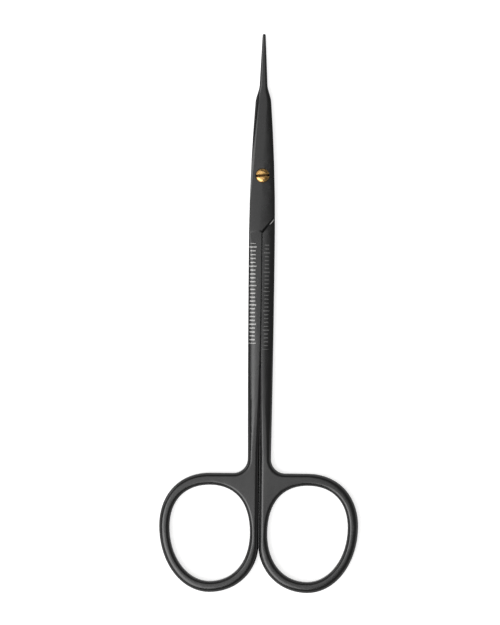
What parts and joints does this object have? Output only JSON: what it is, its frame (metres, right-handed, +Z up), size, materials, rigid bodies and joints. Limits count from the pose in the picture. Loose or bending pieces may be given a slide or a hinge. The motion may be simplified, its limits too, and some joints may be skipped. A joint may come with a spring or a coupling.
{
  "type": "dissecting scissors",
  "caption": "Slim straight dissecting scissors: fine tapering tips, lapped joint with a slotted gold-coloured screw, long flat shanks and oval finger rings, in black coated steel.",
  "frame": {"origin": "on the joint's axis, on the face that the closed scissors lie on", "axes": "+Y along the scissors to the tip, +X to the right seen from above, +Z up along the screw's axis, out of its slotted head"},
  "size_m": [0.0516, 0.1447, 0.0042],
  "materials": {
    "coated_steel": "satin black coating",
    "screw_brass": "polished, gold-coloured"
  },
  "bodies": {
    "upper": {"upper_half": "coated_steel"},
    "lower": {"lower_half": "coated_steel", "pivot_screw": "screw_brass"}
  },
  "joints": [
    {"name": "pivot", "type": "hinge", "parent": "upper", "child": "lower", "pos_m": [0, 0, 0.002], "axis": [0, 0, 1], "range_deg": [0, 140]}
  ]
}
